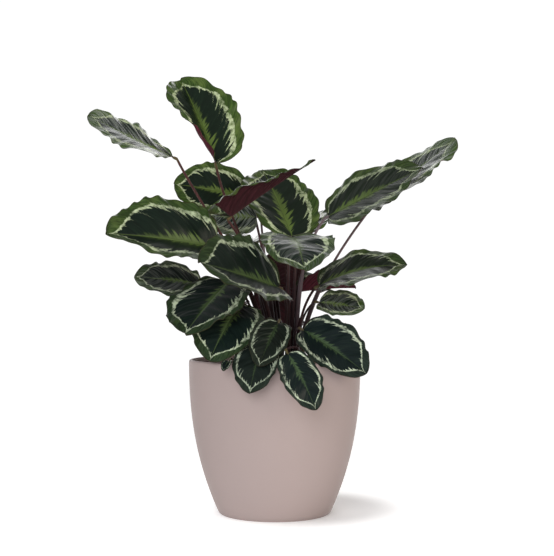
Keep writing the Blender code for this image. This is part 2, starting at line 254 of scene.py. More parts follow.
# Skins of single leaves. The youth shares set for right_small, left_small and the two low left leaves, which
# lie in shadow, lift their greens as painted light; the grey-green sheen is painted, and the brown darkening
# is painted shade, save the duller olive of right_high and right_mid.
SKINS = {
    "centre": Skin(0.4, gloss=0.4, dusk=0.3),
    "rolled": Skin(dusk=0.6),
    "back_right": Skin(dusk=0.2),
    "right_high": Skin(0.85, silver=0.08, dusk=0.5),
    "right_mid": Skin(0.75, silver=0.08, dusk=0.5),
    "right_small": Skin(0.9, silver=0.5),
    "left_small": Skin(0.45, silver=0.3),
    "left_high": Skin(silver=0.75),
    "right_far": Skin(silver=0.7),
    "toward": Skin(0.6, silver=0.25),
    "behind_centre": Skin(silver=1.0),
    "front_small": Skin(dusk=0.6),
    "hang_left": Skin(dusk=0.35),
    "low_left_upper": Skin(0.28, gloss=0),
    "low_left_lower": Skin(0.28, gloss=0.3),
    "rear_hang": Skin(dusk=0.6),
    "rear_droop": Skin(dusk=0.6),
}


# Tips that open into a small flag: half its width in millimetres
TIP_FLAGS = {"rolled": 7}
TIP_FLAG_PLACE = 0.96
TIP_FLAG_LENGTH = 0.03

# Fixed colours of the skins: an upper side's rim, and the dull olive-brown of its painted shade; an
# underside's midrib, and the dark maroon of its painted shade
RIM_BROWN = (0.05, 0.03, 0.015)
UPPER_DULL_PAINTED_SHADE = (0.016, 0.018, 0.008)
RIB_BROWN = (0.13, 0.055, 0.045)
LOWER_DULL_PAINTED_SHADE = (0.018, 0.008, 0.008)
# Painted sheen: the mauve-grey that stands in for the gloss on the stalks
STALK_PAINTED_SHEEN = (0.17, 0.13, 0.14)
ROOTSTOCK_BROWN = (0.06, 0.035, 0.024)

# Stalks with more of the mauve-grey painted sheen than the others
PAINTED_SHEEN_STALKS = {"right_high": 1.0, "right_far": 0.6}


# Settings


def colour(name, description, default):
    return FloatVectorProperty(
        name=name, description=description, subtype="COLOR", size=3, min=0, max=1, default=default
    )


def amount(name, description, default, **more):
    return FloatProperty(name=name, description=description, default=default, min=0, **more)


def length(name, description, default):
    return amount(name, description, default, unit="LENGTH")


def count(name, description, default, least):
    return IntProperty(name=name, description=description, default=default, min=least)


class BladeSettings(bpy.types.PropertyGroup):
    """Shape and colours of the leaf blades."""

    thickness: length("Thickness", "Thickness of a blade", 0.5 * MM)
    ripple: length("Edge ripple", "Height of the ripples along the edge", 2.3 * MM)
    ripple_length: length("Ripple length", "Length of a ripple along the edge", 20 * MM)
    scallop: length("Scallops", "How far the edge runs in and out", 1.0 * MM)
    drape: length("Drape", "Height of the soft waves that follow the side veins", 2.6 * MM)
    pleat: length("Pleats", "Depth of the pleats between the side veins, as relief", 0.42 * MM)
    rows: count("Rows", "Rows of faces along a blade", 72, 8)
    columns: count("Columns", "Columns of faces across a blade", 48, 6)
    ring: amount("Ring", "Place of the pale ring, 1 at the edge", 0.76, max=1)
    # Young colours go on high leaves and old ones on low leaves: partly the leaves' age, partly painted light
    # above and painted shade below.
    heart: colour("Heart", "Dark green inside a young leaf's ring", (0.008, 0.016, 0.009))
    old_heart: colour("Old heart", "Dark blue-green inside an old leaf's ring", (0.006, 0.012, 0.012))
    margin: colour("Margin", "Green outside a young leaf's ring", (0.062, 0.115, 0.024))
    sunny: colour("Sunny", "Yellow-green patches in a young leaf's margin", (0.13, 0.19, 0.045))
    old_margin: colour("Old margin", "Green outside an old leaf's ring", (0.020, 0.034, 0.025))
    pale: colour("Ring colour", "Cream of a young leaf's ring", (0.56, 0.64, 0.38))
    old_pale: colour("Old ring", "Grey-green of an old leaf's ring", (0.50, 0.58, 0.48))
    feather: colour("Feather", "Yellow-green feather along a young midrib", (0.145, 0.215, 0.048))
    old_feather: colour("Old feather", "Olive feather along an old midrib", (0.060, 0.100, 0.045))
    # Painted sheen: the grey-green that stands in for the gloss seen between the side veins at a grazing view
    silvery: colour("Silver", "Grey-green of the shine between the side veins", (0.30, 0.33, 0.29))
    below: colour("Underside", "Maroon of the underside", (0.065, 0.011, 0.018))


class StalkSettings(bpy.types.PropertyGroup):
    """Shape and colours of the stalks."""

    foot_radius: length("Foot radius", "Radius of a stalk's sheath at its foot", 3.9 * MM)
    sheath_radius: length("Sheath radius", "Radius of the sheath near its end", 3.1 * MM)
    neck_radius: length("Neck radius", "Radius of the bare stalk above the sheath", 1.9 * MM)
    joint_radius: length("Joint radius", "Radius of the joint below the blade", 2.3 * MM)
    rings: count("Rings", "Rings of faces along a stalk", 44, 8)
    sides: count("Sides", "Sides of a stalk", 14, 6)
    # The sheath colour also darkens the low stalks, as painted shade under the leaves
    low: colour("Sheath colour", "Dark maroon of the sheaths", (0.028, 0.010, 0.011))
    high: colour("Stalk colour", "Maroon-brown of the bare stalk", (0.092, 0.037, 0.033))
    joint: colour("Joint colour", "Green-brown of the joint below the blade", (0.10, 0.085, 0.035))


class PotSettings(bpy.types.PropertyGroup):
    """Finish of the cover pot and the grow pot."""

    steps: count("Steps", "Faces round the pot", 144, 24)
    rings: count("Rings", "Rings of faces up the cover pot", 48, 8)
    clay: colour("Cover pot", "Rose-taupe of the cover pot", (0.370, 0.296, 0.280))
    plastic: colour("Grow pot", "Black of the grow pot", (0.012, 0.012, 0.013))


class SoilSettings(bpy.types.PropertyGroup):
    """Finish of the soil."""

    rows: count("Rows", "Rows of faces across the soil", 110, 12)
    crumbs: count("Crumbs", "Loose crumbs on the soil", 1500, 0)
    crumb: length("Crumb size", "Radius of the largest crumbs", 2.6 * MM)
    earth: colour("Earth", "Dark brown of the moist soil", (0.020, 0.013, 0.009))
    bark: colour("Bark", "Lighter brown of the bark in it", (0.075, 0.045, 0.026))


class StudioSettings(bpy.types.PropertyGroup):
    """Light, floor and camera."""

    floor: colour("Floor", "White of the floor", (0.9, 0.9, 0.9))
    floor_size: length("Floor size", "Half the side of the white floor", 2.2)
    glow: amount("Glow", "Light that the floor gives itself", 0.6)
    near_glow: amount("Glow at the pot", "The same, close to the pot", 0.12)
    shadow: length("Shadow", "Distance at which the pot's shadow starts to fade", 86 * MM)
    front: amount("Front", "Light from all round, save from behind", 0.24)
    back: amount("Back", "Light from the white wall behind the plant", 3.0)
    key: amount("Key", "Power of the soft light in front", 47, unit="POWER")
    fill: amount("Fill", "Power of the soft light at the side", 20, unit="POWER")
    coolness: colour("Coolness", "Colour of the soft light in front", (0.95, 0.97, 1.0))
    warmth: colour("Warmth", "Colour of the soft light at the side", (1.0, 0.88, 0.74))
    lens: amount("Lens", "Focal length in millimetres", 76.4)
    eye: FloatVectorProperty(
        name="Eye", description="Place of the camera", unit="LENGTH", default=(0.0034, -1.727, 0.3195)
    )
    pitch: FloatProperty(
        name="Pitch", description="How far the camera looks up", subtype="ANGLE", default=math.radians(0.728)
    )


class CalatheaSettings(bpy.types.PropertyGroup):
    """All settings of the potted calathea."""

    blade: PointerProperty(type=BladeSettings)
    stalk: PointerProperty(type=StalkSettings)
    pot: PointerProperty(type=PotSettings)
    soil: PointerProperty(type=SoilSettings)
    studio: PointerProperty(type=StudioSettings)


# Finishes


def toned(colour, factor):
    """A lighter or darker tone of a colour."""
    return [min(c * factor, 1) for c in colour]


class Value:
    """A number that varies over a surface: a shader socket that can be used in an expression."""

    def __init__(self, finish, socket):
        self.finish = finish
        self.socket = socket

    def maths(self, operation, *others):
        return self.finish.maths(operation, self, *others)

    def reflected(self, operation, other):
        return self.finish.maths(operation, other, self)

    __add__ = __radd__ = partialmethod(maths, "ADD")
    __sub__ = partialmethod(maths, "SUBTRACT")
    __rsub__ = partialmethod(reflected, "SUBTRACT")
    __mul__ = __rmul__ = partialmethod(maths, "MULTIPLY")
    __truediv__ = partialmethod(maths, "DIVIDE")
    __rtruediv__ = partialmethod(reflected, "DIVIDE")
    __pow__ = partialmethod(maths, "POWER")
    __rpow__ = partialmethod(reflected, "POWER")
    __abs__ = partialmethod(maths, "ABSOLUTE")

    def fade(self, start, end):
        """Runs smoothly from 0 at start to 1 at end."""
        ends = {"Value": self, "From Min": start, "From Max": end}
        return self.finish.value("Result", "ShaderNodeMapRange", {"interpolation_type": "SMOOTHSTEP"}, ends)

    def blend(self, first, second):
        """Goes from the first colour to the second as the number goes from 0 to 1."""
        inputs = {"Factor": self, "A": first, "B": second}
        return self.finish.node("ShaderNodeMix", {"data_type": "RGBA"}, inputs).outputs["Result"]


class Finish:
    """A material in the making, whose varying numbers are written as expressions."""

    def __init__(self, name):
        self.material = bpy.data.materials.new(name)
        self.material.use_nodes = True
        self.tree = self.material.node_tree
        self.shader = self.tree.nodes["Principled BSDF"]

    def feed(self, socket, value):
        if isinstance(value, Value):
            value = value.socket
        if isinstance(value, bpy.types.NodeSocket):
            self.tree.links.new(value, socket)
        elif socket.type == "RGBA" and len(value) == 3:
            socket.default_value = (*value, 1)
        else:
            socket.default_value = value

    def node(self, kind, settings=(), inputs=()):
        """Adds a node with its own settings, then feeds its sockets by name or number."""
        node = self.tree.nodes.new(kind)
        for name, value in dict(settings).items():
            setattr(node, name, value)
        for name, value in dict(inputs).items():
            self.feed(node.inputs[name], value)
        return node

    def value(self, output, kind, settings=(), inputs=()):
        """Adds a node, and returns one of its outputs as a number."""
        return Value(self, self.node(kind, settings, inputs).outputs[output])

    def maths(self, operation, *values):
        return self.value("Value", "ShaderNodeMath", {"operation": operation}, enumerate(values))

    def attribute(self, name):
        return self.value("Fac", "ShaderNodeAttribute", {"attribute_name": name})

    def place(self):
        return self.node("ShaderNodeTexCoord").outputs["Object"]

    def split(self, vector):
        """The X, Y and Z of a vector, as numbers."""
        node = self.node("ShaderNodeSeparateXYZ", inputs={"Vector": vector})
        return [Value(self, part) for part in node.outputs]

    def noise(self, scale, detail, roughness=0.55, vector=None):
        """Noise that follows the place on the piece, or another vector."""
        inputs = {"Vector": vector or self.place(), "Scale": scale, "Detail": detail, "Roughness": roughness}
        return self.value("Fac", "ShaderNodeTexNoise", inputs=inputs)

    def chance(self, value):
        """A random number from 0 to 1 that is the same wherever value is the same."""
        return self.value("Value", "ShaderNodeTexWhiteNoise", {"noise_dimensions": "1D"}, {"W": value})

    def relief(self, height, distance):
        """Bends the light as if the surface rose by height times distance."""
        node = self.node("ShaderNodeBump", inputs={"Height": height, "Distance": distance, "Strength": 1})
        self.feed(self.shader.inputs["Normal"], node.outputs["Normal"])

    def set(self, **inputs):
        """Sets sockets of the shader, with underscores for the spaces in their names."""
        for name, value in inputs.items():
            self.feed(self.shader.inputs[name.replace("_", " ")], value)
        return self.material


class Sky(Finish):
    """The light of the world in the making."""

    def __init__(self, name):
        self.world = bpy.data.worlds.new(name)
        self.world.use_nodes = True
        self.tree = self.world.node_tree

    def glow(self, strength):
        node = self.node("ShaderNodeBackground", inputs={"Color": WHITE, "Strength": strength})
        return node.outputs["Background"]


class BladePlace:
    """Where a point lies on a blade, and the patterns that follow its side veins, for its two sides."""

    def __init__(self, finish):
        self.finish = finish
        uv_map = finish.node("ShaderNodeUVMap", {"uv_map": "blade"})
        self.along, up_disc, _ = finish.split(uv_map.outputs["UV"])
        x = self.along * 2 - 1
        y = up_disc * 2 - 1
        self.seed = finish.attribute("seed")
        self.side = y.maths("GREATER_THAN", 0)
        self.out = abs(y) / (1 - x * x).maths("MAXIMUM", 0.004) ** 0.5
        self.from_middle = (x * x + y * y) ** 0.5
        lean = self.out * SIDE_VEIN_LEAN + self.out * self.out * SIDE_VEIN_CURL
        self.vein = self.along - lean + self.side * OTHER_SIDE_SHIFT
        self.streaks = self.streaked(46, 2.2, 2)

    def streaked(self, across, along, detail):
        """Noise that runs slowly along the side veins and quickly across them."""
        place = {"X": self.vein * across, "Y": self.out * along + self.side * 9, "Z": self.seed * 5}
        vector = self.finish.node("ShaderNodeCombineXYZ", inputs=place).outputs["Vector"]
        return self.finish.noise(1, detail, vector=vector)

    def pleats(self):
        """Waves whose crests lie on the side veins."""
        return (self.vein * (SIDE_VEINS * math.tau) + self.seed * math.tau).maths("COSINE")


class UpperPattern(BladePlace):
    """The masks that an upper side's pattern is painted with, each from 0 to 1."""

    def __init__(self, finish):
        super().__init__(finish)
        self.young = finish.attribute("young")
        self.wander = finish.noise(42, 2) - 0.5
        self.spread = finish.noise(190, 3) - 0.5
        self.ragged = self.streaks - 0.5
        teeth = (self.vein + self.wander * 0.03) * SIDE_VEINS + self.seed
        self.tooth = teeth.maths("FLOOR")
        self.past_tooth = teeth - self.tooth

    def tooth_size(self, seed_step, side_step):
        """The random size of the tooth that a point lies on, which differs by leaf and by side."""
        return self.finish.chance(self.tooth + self.seed * seed_step + self.side * side_step)

    def ring(self, place):
        """Where the pale ring has begun, and where it has ended, on the way to the edge."""
        size = self.tooth_size(7, 31)
        spur = (1 - self.past_tooth) ** 2 * size ** 3
        start = place - self.young * 0.08 + self.wander * 0.10
        at_ends = self.along.fade(0.70, 1.0) * 0.8 + self.along.fade(0.07, 0.0) * 0.3
        distance = self.out + at_ends - start
        begun = (distance + spur * 0.30 + self.ragged * 0.26).fade(-0.010, 0.010)
        ended = (distance - 0.070 - size * 0.045 + self.ragged * 0.12).fade(-0.012, 0.012)
        return begun, ended

    def feather(self):
        """The barbs that follow the side veins out from the midrib."""
        taper = self.along.fade(-0.08, 0.22) * self.along.fade(0.98, 0.30)
        longest = self.tooth_size(11, 17) * self.past_tooth * 0.22
        barbs = longest + self.streaks.fade(0.35, 0.7) * 0.12
        reach = taper * (0.05 + barbs * (self.young * 0.3 + 0.7))
        return (reach - self.out).fade(-0.04, 0.06) * self.along.fade(0.95, 0.25) * 0.95


def heart_colour(pattern, look):
    """Dark green inside the ring, faintly streaked, with the feather and the midrib on it."""
    deep = pattern.young.blend(look.old_heart, look.heart)
    faint = pattern.streaks.fade(0.45, 0.75) * 0.4
    feather = pattern.young.blend(look.old_feather, look.feather)
    feathered = pattern.feather().blend(faint.blend(deep, toned(look.heart, 2)), feather)
    on_midrib = pattern.out.fade(0.030, 0.010) * 0.6
    return on_midrib.blend(feathered, feather)


def margin_colour(pattern, look):
    """Banded green outside the ring, with sunny patches on young leaves."""
    banded = pattern.streaks.fade(0.36, 0.68)
    old = banded.blend(toned(look.old_margin, 0.5), look.old_margin)
    young = banded.blend(toned(look.margin, 0.5), look.margin)
    patches = (pattern.wander + pattern.ragged * 0.5).fade(0.0, 0.2) * 0.55
    # The lighter young margin on high leaves is partly painted light
    return pattern.young.blend(old, patches.blend(young, look.sunny))


def painted_upper(pattern, look):
    """The whole pattern from the midrib to the brown rim."""
    margin = margin_colour(pattern, look)
    cream = (pattern.young * 0.6 + 0.4).blend(look.old_pale, look.pale)
    thin = (pattern.spread + pattern.wander * 0.5).fade(0.16, -0.28)
    begun, ended = pattern.ring(look.ring)
    ringed = begun.blend(heart_colour(pattern, look), thin.blend(cream, margin))
    rim = pattern.from_middle.fade(0.975, 0.995) * 0.5
    return rim.blend(ended.blend(ringed, margin), RIM_BROWN)


def leaf_upper(look):
    """Waxy upper side: dark heart, feathered midrib, jagged cream ring and green margin, with a grey-green
    painted sheen between the side veins and a dull olive-brown painted shade on some leaves.
    """
    finish = Finish("leaf_upper")
    pattern = UpperPattern(finish)
    gloss = finish.attribute("gloss")
    # Painted sheen: grey-green streaks between the side veins in the colour; the same streaks also weight the
    # real coat
    shine = pattern.streaked(30, 1.4, 1).fade(0.40, 0.62) * finish.attribute("silver")
    # Painted shade: darkens the whole pattern towards a dull olive-brown, on leaves that lie in shadow
    with_dullness_and_painted_shade = (finish.attribute("dusk") * 0.6).blend(painted_upper(pattern, look), UPPER_DULL_PAINTED_SHADE)
    coloured = (shine * 0.6).blend(with_dullness_and_painted_shade, look.silvery)

    fine = (pattern.vein * (SIDE_VEINS * 5 * math.tau)).maths("COSINE")
    groove = pattern.out.fade(0.0, 0.05)
    folds = pattern.streaked(17, 1.1, 1)
    veined = pattern.pleats() * -0.3 + fine * 0.06 + pattern.streaks * 0.4 + folds * 2.6
    finish.relief(veined * groove + groove * 0.9, look.pleat)
    finish.set(Roughness=pattern.spread * 0.06 + (0.55 - gloss * 0.3), Specular_IOR_Level=0.1)
    return finish.set(Base_Color=coloured, Coat_Weight=gloss * 0.3 + shine * 0.7, Coat_Roughness=0.3)


def leaf_lower(look):
    """Maroon underside with slightly lighter veins and a raised midrib, darkened by painted shade on some
    leaves.
    """
    finish = Finish("leaf_lower")
    at = BladePlace(finish)
    lighter = [c * 1.5 + 0.004 for c in look.below]
    body = at.streaks.fade(0.3, 0.7).blend(toned(look.below, 0.62), lighter)
    on_rib = at.out.fade(0.05, 0.0)
    # Painted shade: darkens the underside on leaves that lie in shadow
    coloured = finish.attribute("dusk").blend((on_rib * 0.6).blend(body, RIB_BROWN), LOWER_DULL_PAINTED_SHADE)
    finish.relief(at.pleats() * 0.5 + at.streaks * 0.2 + on_rib * 2.5, look.pleat)
    rough = 0.48 + finish.noise(220, 2) * 0.12
    return finish.set(Base_Color=coloured, Roughness=rough, Specular_IOR_Level=0.15)


def stalk_skin(look):
    """Maroon skin that is streaked along the stalk and green-brown at the joint: dark low down, partly the
    sheaths' own maroon and partly painted shade under the leaves, with a mauve-grey painted sheen that grows
    higher up.
    """
    finish = Finish("stalk_skin")
    along = finish.node("ShaderNodeMapping", inputs={"Vector": finish.place(), "Scale": (420, 420, 14)})
    streaks = finish.noise(1, 2, vector=along.outputs["Vector"])
    banded = streaks.fade(0.35, 0.7)
    sheath = banded.blend(toned(look.low, 0.5), look.low)
    bare = banded.blend(toned(look.high, 0.6), look.high)
    height = finish.split(finish.place())[2]
    # Painted shade: the dark sheath colour covers the stalks up to this height, under the leaves
    upper = height.fade(SOIL_Z + 120 * MM, SOIL_Z + 210 * MM).blend(sheath, bare)
    on_joint = finish.attribute("along").fade(JOINT_START, JOINT_START + 0.03) * 0.8
    # Painted sheen: more of the mauve-grey higher up, and on the stalks with a high tone
    raised = height.fade(SOIL_Z + 60 * MM, SOIL_Z + 180 * MM)
    pale = finish.attribute("tone") * (raised * 0.65 + 0.15)
    coloured = pale.blend(on_joint.blend(upper, look.joint), STALK_PAINTED_SHEEN)
    finish.relief(streaks, 0.3 * MM)
    return finish.set(Base_Color=coloured, Roughness=streaks * 0.2 + 0.36, Specular_IOR_Level=0.15)


def rootstock_skin(look):
    finish = Finish("rootstock_skin")
    grain = finish.noise(420, 4)
    finish.relief(grain, 1.2 * MM)
    coloured = grain.fade(0.35, 0.7).blend(toned(look.low, 0.4), ROOTSTOCK_BROWN)
    return finish.set(Base_Color=coloured, Roughness=0.85)


def matt_clay(look):
    """Even matt finish with the faintest mottling and a fine grain."""
    finish = Finish("matt_rose_taupe")
    grain = finish.noise(1400, 2)
    finish.relief(grain, 0.05 * MM)
    mottled = finish.noise(14, 3) * 0.7 + grain * 0.3
    coloured = mottled.blend(toned(look.clay, 0.955), toned(look.clay, 1.04))
    return finish.set(Base_Color=coloured, Roughness=0.56 + grain * 0.12, Specular_IOR_Level=0.2)


def moulded_black(look):
    finish = Finish("moulded_black")
    cloud = finish.noise(60, 3)
    finish.relief(finish.noise(1100, 2), 0.08 * MM)
    dusty = [c * 2.6 + 0.01 for c in look.plastic]
    coloured = (cloud.fade(0.45, 0.8) * 0.6).blend(look.plastic, dusty)
    return finish.set(Base_Color=coloured, Roughness=0.42 + cloud * 0.2)


def moist_earth(look):
    finish = Finish("moist_earth")
    lumps = finish.noise(260, 5, 0.65)
    grit = finish.noise(1300, 3)
    finish.relief(lumps * 0.7 + grit * 0.3, 1.6 * MM)
    coloured = lumps.fade(0.52, 0.72).blend(look.earth, look.bark)
    return finish.set(Base_Color=coloured, Roughness=0.82 + grit * 0.14)


# Pieces


def as_mesh(bm, name="shape"):
    mesh = bpy.data.meshes.new(name)
    bm.to_mesh(mesh)
    bm.free()
    return mesh


def put(name, data):
    """Puts a new object into the scene."""
    thing = bpy.data.objects.new(name, data)
    bpy.context.scene.collection.objects.link(thing)
    return thing


def smooth(mesh, sharp):
    """Shades a mesh smoothly, save at edges that are sharper than so many degrees."""
    mesh.shade_smooth()
    mesh.set_sharp_from_angle(angle=math.radians(sharp))


def add_piece(name, bm, materials, slot, *nodes, sharp=40):
    """Makes a smooth shaded piece of the finished mesh, which rides on the part and replaces its nodes."""
    mesh = as_mesh(bm, name)
    for material in materials:
        mesh.materials.append(material)
    smooth(mesh, sharp)
    piece = put(name, mesh)
    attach(piece, BODY)
    if nodes:
        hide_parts(*nodes)
    return piece


def join(bm, mesh):
    """Adds a mesh to a piece in the making, and lets go of it."""
    bm.from_mesh(mesh)
    bpy.data.meshes.remove(mesh)


def extruded(bm, edges):
    """Extrudes edges, and returns the new vertices and the new outer edges."""
    step = bmesh.ops.extrude_edge_only(bm, edges=edges)["geom"]
    verts = [item for item in step if isinstance(item, bmesh.types.BMVert)]
    return verts, [item for item in step if isinstance(item, bmesh.types.BMEdge) and item.is_boundary]


def settle(bm):
    """Puts points, edges and faces into the same order in each run."""
    spread = Vector((1, 2.3, 5.7))
    bm.verts.sort(key=lambda vert: vert.co.dot(spread))
    bm.edges.sort(key=lambda edge: (edge.verts[0].co + edge.verts[1].co).dot(spread))
    bm.faces.sort(key=lambda face: face.calc_center_median().dot(spread))


def turned(profile, steps):
    """Spins a profile of (radius, height) points round the Z axis into a closed shell."""
    bm = bmesh.new()
    points = [bm.verts.new((radius, 0, height)) for radius, height in profile]
    edges = [bm.edges.new(pair) for pair in zip(points, points[1:])]
    bmesh.ops.spin(
        bm, geom=points + edges, cent=(0, 0, 0), axis=(0, 0, 1), angle=math.tau, steps=steps, use_merge=True
    )
    bmesh.ops.remove_doubles(bm, verts=bm.verts, dist=0.01 * MM)
    bmesh.ops.recalc_face_normals(bm, faces=bm.faces)
    settle(bm)
    return bm


def pot_radius(z):
    share = min(max(z / POT_HEIGHT, 0), 1)
    return POT_FOOT_RADIUS + (POT_RIM_RADIUS - POT_FOOT_RADIUS) * (1 - (1 - share) ** POT_BELLY)


def arc(middle, radius, start, end, steps):
    """Points of an arc in the profile's plane, with angles in degrees."""
    turns = [math.radians(start + (end - start) * i / steps) for i in range(steps + 1)]
    return [(middle[0] + radius * math.cos(a), middle[1] + radius * math.sin(a)) for a in turns]


def cover_pot_profile(rings):
    bottom = POT_FOOT_ROUNDING
    shoulder = POT_HEIGHT - POT_LIP
    heights = [bottom + (shoulder - bottom) * i / rings for i in range(rings + 1)]
    floor_edge = pot_radius(POT_FLOOR) - POT_WALL - POT_INNER_ROUNDING
    inner = [(pot_radius(z) - POT_WALL, z) for z in heights if z > POT_FLOOR + POT_INNER_ROUNDING]
    lip = arc((pot_radius(shoulder) - POT_WALL / 2, shoulder), POT_WALL / 2, 165, 15, 12)
    outer = [(pot_radius(z), z) for z in reversed(heights)]
    foot = arc((POT_FOOT_RADIUS - POT_FOOT_ROUNDING, bottom), POT_FOOT_ROUNDING, -15, -90, 5)
    return [(0, POT_FLOOR), (floor_edge, POT_FLOOR), *inner, *lip, *outer, *foot, (0, 0)]


def grow_radius(z):
    return GROW_FOOT_RADIUS + (GROW_RIM_RADIUS - GROW_RIM_STEP - GROW_FOOT_RADIUS) * z / GROW_HEIGHT


def grow_pot_profile():
    step = GROW_HEIGHT - GROW_RIM_DEPTH
    lip = arc((GROW_RIM_RADIUS - GROW_WALL / 2, GROW_HEIGHT - GROW_WALL / 2), GROW_WALL / 2, 180, 0, 6)
    profile = [
        (0, GROW_WALL),
        (grow_radius(0) - GROW_WALL, GROW_WALL),
        (grow_radius(step) - GROW_WALL, step + GROW_WALL),
        (GROW_RIM_RADIUS - GROW_WALL, step + GROW_WALL + GROW_RIM_STEP),
        *lip,
        (GROW_RIM_RADIUS, step + GROW_RIM_STEP),
        (grow_radius(step), step),
        (grow_radius(0), 0),
        (0, 0),
    ]
    return [(radius, height + GROUND_Z) for radius, height in profile]


def cut_drains(piece):
    """Cuts the drain holes through the grow pot's floor."""
    bm = bmesh.new()
    for i in range(DRAINS):
        hole = bmesh.ops.create_cone(
            bm,
            cap_ends=True,
            segments=DRAIN_STEPS,
            radius1=DRAIN_RADIUS,
            radius2=DRAIN_RADIUS,
            depth=6 * GROW_WALL,
        )
        turn = math.tau * (i + 0.5) / DRAINS
        place = Vector((DRAIN_CIRCLE * math.cos(turn), DRAIN_CIRCLE * math.sin(turn), GROUND_Z))
        bmesh.ops.translate(bm, verts=hole["verts"], vec=place)
    drill = put("drill", as_mesh(bm))
    cut = piece.modifiers.new("drains", "BOOLEAN")
    cut.operation = "DIFFERENCE"
    cut.object = drill
    apply_modifiers(piece)
    bpy.data.objects.remove(drill)


def apply_modifiers(piece, sharp=40):
    graph = bpy.context.evaluated_depsgraph_get()
    mesh = bpy.data.meshes.new_from_object(piece.evaluated_get(graph))
    piece.modifiers.clear()
    piece.data = mesh
    smooth(mesh, sharp)


def soil_height(x, y, top):
    """Height of the soil above its edge: crowned, in the part's lumps, with finer crumbs on them."""
    reach = math.hypot(x, y) / top
    lumps = SOIL_RELIEF * (math.sin(x * 210 + 1.3) * math.cos(y * 170 + 0.4) + 0.6 * math.sin((x + y) * 330))
    crumbs = CRUMB_RELIEF * noise.fractal(Vector((x, y, 0)) * 160, 0.7, 2.1, 4)
    return (SOIL_CROWN * (1 - reach**2) + lumps) * min(1, (1 - reach) * 12) + crumbs


def soil_mesh(look):
    """The root ball: a crumbly top on a tapered body."""
    foot_z = GROUND_Z + GROW_WALL + 0.3 * MM
    top_z = SOIL_Z - SOIL_CROWN
    foot, top = (grow_radius(z - GROUND_Z) - GROW_WALL - SOIL_GAP for z in (foot_z, top_z))
    bm = bmesh.new()
    bmesh.ops.create_grid(bm, x_segments=look.rows, y_segments=look.rows, size=1)
    for vert in bm.verts:
        x, y = square_to_disc(vert.co.x, vert.co.y)
        vert.co = Vector((x * top, y * top, top_z + soil_height(x * top, y * top, top)))
    for radius in (foot, foot * 0.02):
        lower, _ = extruded(bm, [edge for edge in bm.edges if edge.is_boundary])
        for vert in lower:
            flat = Vector((vert.co.x, vert.co.y)).normalized() * radius
            vert.co = Vector((flat.x, flat.y, foot_z))
    bmesh.ops.holes_fill(bm, edges=bm.edges)
    bmesh.ops.recalc_face_normals(bm, faces=bm.faces)
    settle(bm)
    return bm, top, top_z


def scatter_crumbs(bm, look, top, top_z):
    """Small lumps of peat and bark on the soil, at seeded places."""
    draw = random.Random(41)
    ball = bmesh.new()
    bmesh.ops.create_icosphere(ball, subdivisions=1, radius=1)
    mould = as_mesh(ball)
    for _ in range(look.crumbs):
        reach = top * 0.97 * math.sqrt(draw.random())
        turn = draw.uniform(0, math.tau)
        x, y = reach * math.cos(turn), reach * math.sin(turn)
        size = look.crumb * draw.uniform(0.25, 1) ** 2
        squash = Matrix.Diagonal((draw.uniform(0.7, 1.6), draw.uniform(0.6, 1.1), draw.uniform(0.4, 0.8)))
        spin = Matrix.Rotation(draw.uniform(0, math.tau), 3, "Z")
        tumble = spin @ Matrix.Rotation(draw.uniform(-1, 1), 3, "X")
        place = Vector((x, y, top_z + soil_height(x, y, top) + size * 0.2))
        crumb = mould.copy()
        crumb.transform(Matrix.Translation(place) @ (tumble @ squash * size).to_4x4())
        join(bm, crumb)
    bpy.data.meshes.remove(mould)


def square_to_disc(x, y):
    """Moves a point of the square from -1 to 1 into the disc of radius 1."""
    return x * math.sqrt(1 - y * y / 2), y * math.sqrt(1 - x * x / 2)


